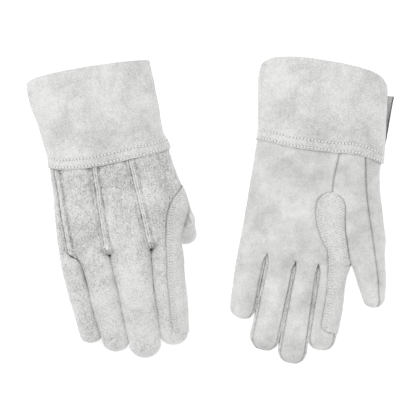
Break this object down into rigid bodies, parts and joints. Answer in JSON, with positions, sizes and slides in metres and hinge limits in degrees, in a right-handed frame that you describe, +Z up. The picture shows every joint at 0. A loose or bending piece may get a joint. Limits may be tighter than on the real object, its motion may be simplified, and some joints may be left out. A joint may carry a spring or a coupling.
{
  "type": "welding glove pair",
  "caption": "Pair of pale split-leather work gloves with short cuffs: welted back seams, wing thumbs and a reinforcing strap from the palm along each forefinger.",
  "frame": {"origin": "middle of the pair's bounding box, on the surface that the gloves lie on", "axes": "+X across both gloves towards their thumbs, -Y towards the fingertips, +Z up"},
  "size_m": [0.3317, 0.2758, 0.0544],
  "materials": {
    "palm_leather": "smooth grain side, matte",
    "back_leather": "rough split suede",
    "cuff_leather": "split suede",
    "strap_leather": "split suede",
    "welt_leather": "split suede, cut edges",
    "thread": "twisted white thread"
  },
  "bodies": {
    "left_hand": {"left_back_panel_index": "back_leather", "left_back_panel_little": "back_leather", "left_back_panel_middle": "back_leather", "left_back_panel_ring": "back_leather", "left_cuff_band": "cuff_leather", "left_cuff_thread_lower": "thread", "left_cuff_thread_upper": "thread", "left_palm_panel": "palm_leather", "left_strap_back_leg": "strap_leather", "left_strap_palm_leg": "strap_leather", "left_thumb_back_panel": "back_leather", "left_thumb_front_panel": "palm_leather", "left_welt_little_ring": "welt_leather", "left_welt_middle_index": "welt_leather", "left_welt_ring_middle": "welt_leather"},
    "left_cuff": {"left_cuff_sleeve": "cuff_leather"},
    "left_little_near_part": {"left_little_base": "back_leather"},
    "left_little_end_part": {"left_little_tip": "palm_leather"},
    "left_ring_near_part": {"left_ring_back": "back_leather", "left_ring_front": "palm_leather"},
    "left_ring_end_part": {"left_ring_tip": "palm_leather"},
    "left_middle_near_part": {"left_middle_back": "back_leather", "left_middle_front": "palm_leather"},
    "left_middle_end_part": {"left_middle_tip": "palm_leather"},
    "left_index_near_part": {"left_index_back": "back_leather", "left_index_front": "palm_leather", "left_index_strap": "strap_leather"},
    "left_index_end_part": {"left_index_tip": "palm_leather", "left_index_strap_tip": "strap_leather"},
    "left_thumb_end_part": {"left_thumb_end": "palm_leather"},
    "right_hand": {"right_back_panel_index": "back_leather", "right_back_panel_little": "back_leather", "right_back_panel_middle": "back_leather", "right_back_panel_ring": "back_leather", "right_cuff_band": "cuff_leather", "right_cuff_thread_lower": "thread", "right_cuff_thread_upper": "thread", "right_palm_panel": "palm_leather", "right_strap_back_leg": "strap_leather", "right_strap_palm_leg": "strap_leather", "right_thumb_back_panel": "back_leather", "right_thumb_front_panel": "palm_leather", "right_welt_little_ring": "welt_leather", "right_welt_middle_index": "welt_leather", "right_welt_ring_middle": "welt_leather"},
    "right_cuff": {"right_cuff_sleeve": "cuff_leather"},
    "right_little_near_part": {"right_little_base": "back_leather"},
    "right_little_end_part": {"right_little_tip": "palm_leather"},
    "right_ring_near_part": {"right_ring_back": "back_leather", "right_ring_front": "palm_leather"},
    "right_ring_end_part": {"right_ring_tip": "palm_leather"},
    "right_middle_near_part": {"right_middle_back": "back_leather", "right_middle_front": "palm_leather"},
    "right_middle_end_part": {"right_middle_tip": "palm_leather"},
    "right_index_near_part": {"right_index_back": "back_leather", "right_index_front": "palm_leather", "right_index_strap": "strap_leather"},
    "right_index_end_part": {"right_index_tip": "palm_leather", "right_index_strap_tip": "strap_leather"},
    "right_thumb_end_part": {"right_thumb_end": "palm_leather"}
  },
  "joints": [
    {"name": "right_glove_lift", "type": "slide", "parent": "left_hand", "child": "right_hand", "axis": [0, 0, 1], "range_m": [0, 0.12]},
    {"name": "left_little_curl", "type": "hinge", "parent": "left_hand", "child": "left_little_near_part", "pos_m": [0.03897, -0.03806, 0.027], "axis": [-0.9842, 0.1771, 0], "range_deg": [0, 65]},
    {"name": "left_little_end_curl", "type": "hinge", "parent": "left_little_near_part", "child": "left_little_end_part", "pos_m": [0.03384, -0.0666, 0.02814], "axis": [-0.9842, 0.1771, 0], "range_deg": [0, 65]},
    {"name": "left_ring_curl", "type": "hinge", "parent": "left_hand", "child": "left_ring_near_part", "pos_m": [0.06464, -0.04415, 0.0305], "axis": [-0.982, 0.1891, 0], "range_deg": [0, 65]},
    {"name": "left_ring_end_curl", "type": "hinge", "parent": "left_ring_near_part", "child": "left_ring_end_part", "pos_m": [0.0568, -0.08134, 0.03159], "axis": [-0.982, 0.1891, 0], "range_deg": [0, 65]},
    {"name": "left_middle_curl", "type": "hinge", "parent": "left_hand", "child": "left_middle_near_part", "pos_m": [0.08763, -0.04982, 0.03], "axis": [-0.982, 0.1891, 0], "range_deg": [0, 65]},
    {"name": "left_middle_end_curl", "type": "hinge", "parent": "left_middle_near_part", "child": "left_middle_end_part", "pos_m": [0.08058, -0.09021, 0.03147], "axis": [-0.982, 0.1891, 0], "range_deg": [0, 65]},
    {"name": "left_index_curl", "type": "hinge", "parent": "left_hand", "child": "left_index_near_part", "pos_m": [0.11145, -0.05157, 0.03], "axis": [-0.982, 0.1891, 0], "range_deg": [0, 65]},
    {"name": "left_index_end_curl", "type": "hinge", "parent": "left_index_near_part", "child": "left_index_end_part", "pos_m": [0.10545, -0.08706, 0.03129], "axis": [-0.982, 0.1891, 0], "range_deg": [0, 65]},
    {"name": "left_thumb_curl", "type": "hinge", "parent": "left_hand", "child": "left_thumb_end_part", "pos_m": [0.14406, -0.05218, 0.039], "axis": [-0.9962, -0.0872, 0], "range_deg": [0, 50]},
    {"name": "left_cuff_fold", "type": "hinge", "parent": "left_hand", "child": "left_cuff", "pos_m": [0.10045, 0.06509, 0.04471], "axis": [0.9877, -0.1564, 0], "range_deg": [0, 20]},
    {"name": "right_little_curl", "type": "hinge", "parent": "right_hand", "child": "right_little_near_part", "pos_m": [-0.12515, -0.04608, 0.0205], "axis": [0.9677, 0.2521, 0], "range_deg": [0, 65]},
    {"name": "right_little_end_curl", "type": "hinge", "parent": "right_little_near_part", "child": "right_little_end_part", "pos_m": [-0.11658, -0.07898, 0.01605], "axis": [0.9677, 0.2521, 0], "range_deg": [0, 65]},
    {"name": "right_ring_curl", "type": "hinge", "parent": "right_hand", "child": "right_ring_near_part", "pos_m": [-0.10287, -0.04356, 0.0245], "axis": [0.9736, 0.2284, 0], "range_deg": [0, 65]},
    {"name": "right_ring_end_curl", "type": "hinge", "parent": "right_ring_near_part", "child": "right_ring_end_part", "pos_m": [-0.09397, -0.08153, 0.02008], "axis": [0.9736, 0.2284, 0], "range_deg": [0, 65]},
    {"name": "right_middle_curl", "type": "hinge", "parent": "right_hand", "child": "right_middle_near_part", "pos_m": [-0.07141, -0.03959, 0.0255], "axis": [0.9885, 0.1513, 0], "range_deg": [0, 65]},
    {"name": "right_middle_end_curl", "type": "hinge", "parent": "right_middle_near_part", "child": "right_middle_end_part", "pos_m": [-0.0649, -0.0821, 0.02127], "axis": [0.9885, 0.1513, 0], "range_deg": [0, 65]},
    {"name": "right_index_curl", "type": "hinge", "parent": "right_hand", "child": "right_index_near_part", "pos_m": [-0.0399, -0.0346, 0.026], "axis": [0.9962, 0.0872, 0], "range_deg": [0, 65]},
    {"name": "right_index_end_curl", "type": "hinge", "parent": "right_index_near_part", "child": "right_index_end_part", "pos_m": [-0.0365, -0.07346, 0.02135], "axis": [0.9962, 0.0872, 0], "range_deg": [0, 65]},
    {"name": "right_thumb_spread", "type": "hinge", "parent": "right_hand", "child": "right_thumb_end_part", "pos_m": [-0.01461, -0.00392, 0.03381], "axis": [0.2079, -0.9781, 0], "range_deg": [0, 75]},
    {"name": "right_cuff_fold", "type": "hinge", "parent": "right_hand", "child": "right_cuff", "pos_m": [-0.09451, 0.0585, 0.04511], "axis": [0.9877, 0.1564, 0], "range_deg": [0, 20]}
  ],
  "couplings": [
    {"joint": "left_little_end_curl", "follows": "left_little_curl", "ratio": 1},
    {"joint": "left_ring_end_curl", "follows": "left_ring_curl", "ratio": 1},
    {"joint": "left_middle_end_curl", "follows": "left_middle_curl", "ratio": 1},
    {"joint": "left_index_end_curl", "follows": "left_index_curl", "ratio": 1},
    {"joint": "right_little_end_curl", "follows": "right_little_curl", "ratio": 1},
    {"joint": "right_ring_end_curl", "follows": "right_ring_curl", "ratio": 1},
    {"joint": "right_middle_end_curl", "follows": "right_middle_curl", "ratio": 1},
    {"joint": "right_index_end_curl", "follows": "right_index_curl", "ratio": 1}
  ]
}
